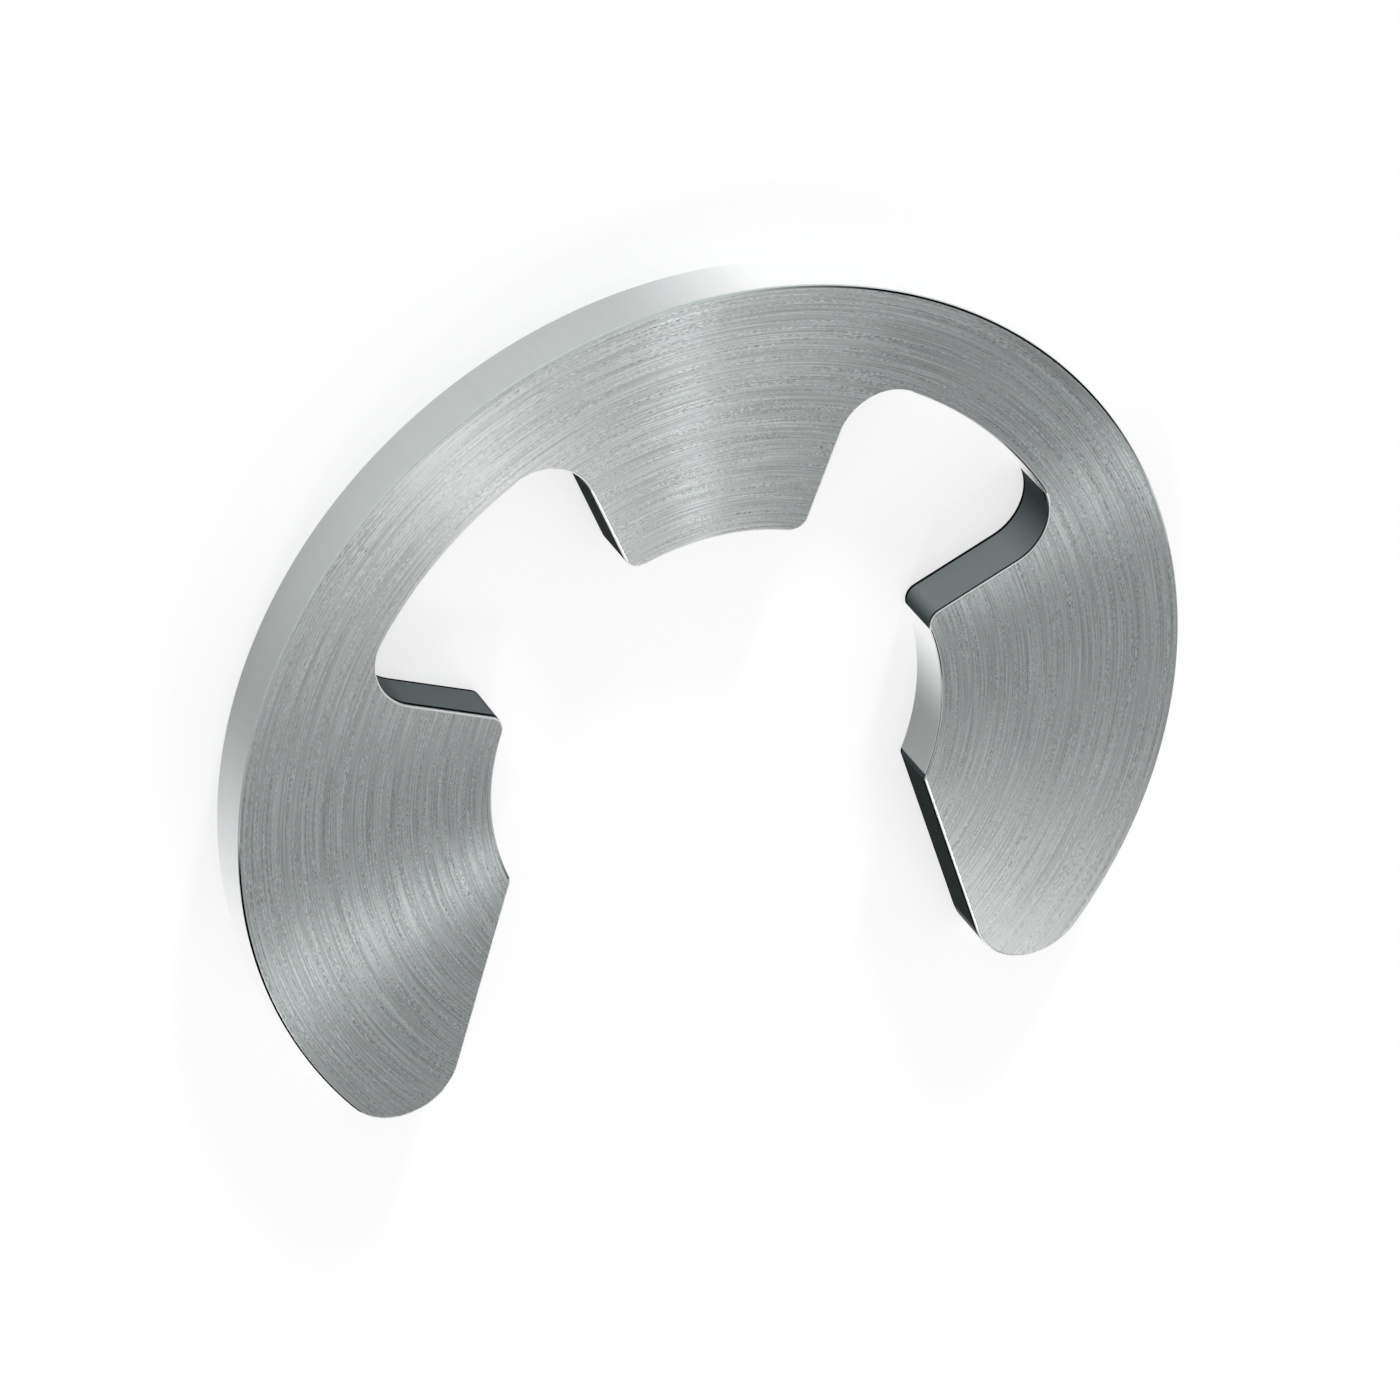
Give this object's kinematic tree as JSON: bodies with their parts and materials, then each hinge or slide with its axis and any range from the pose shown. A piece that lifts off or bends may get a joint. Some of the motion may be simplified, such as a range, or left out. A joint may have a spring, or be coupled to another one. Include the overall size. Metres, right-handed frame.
{
  "type": "e clip",
  "caption": "Flat E-shaped retaining ring of spring steel that snaps sideways into the groove of a shaft.",
  "frame": {"origin": "on the axis of the gripped shaft, in the face that the clip lies on", "axes": "+Z along the shaft's axis, up through the strip; +Y towards the tooth; the mouth opens towards -Y; X from lug to lug"},
  "size_m": [0.0188, 0.0157, 0.0011],
  "materials": {
    "spring_steel": "faces brushed in circles about the shaft's axis, smooth stamped wall"
  },
  "bodies": {
    "root": {"e_clip": "spring_steel"}
  },
  "joints": []
}
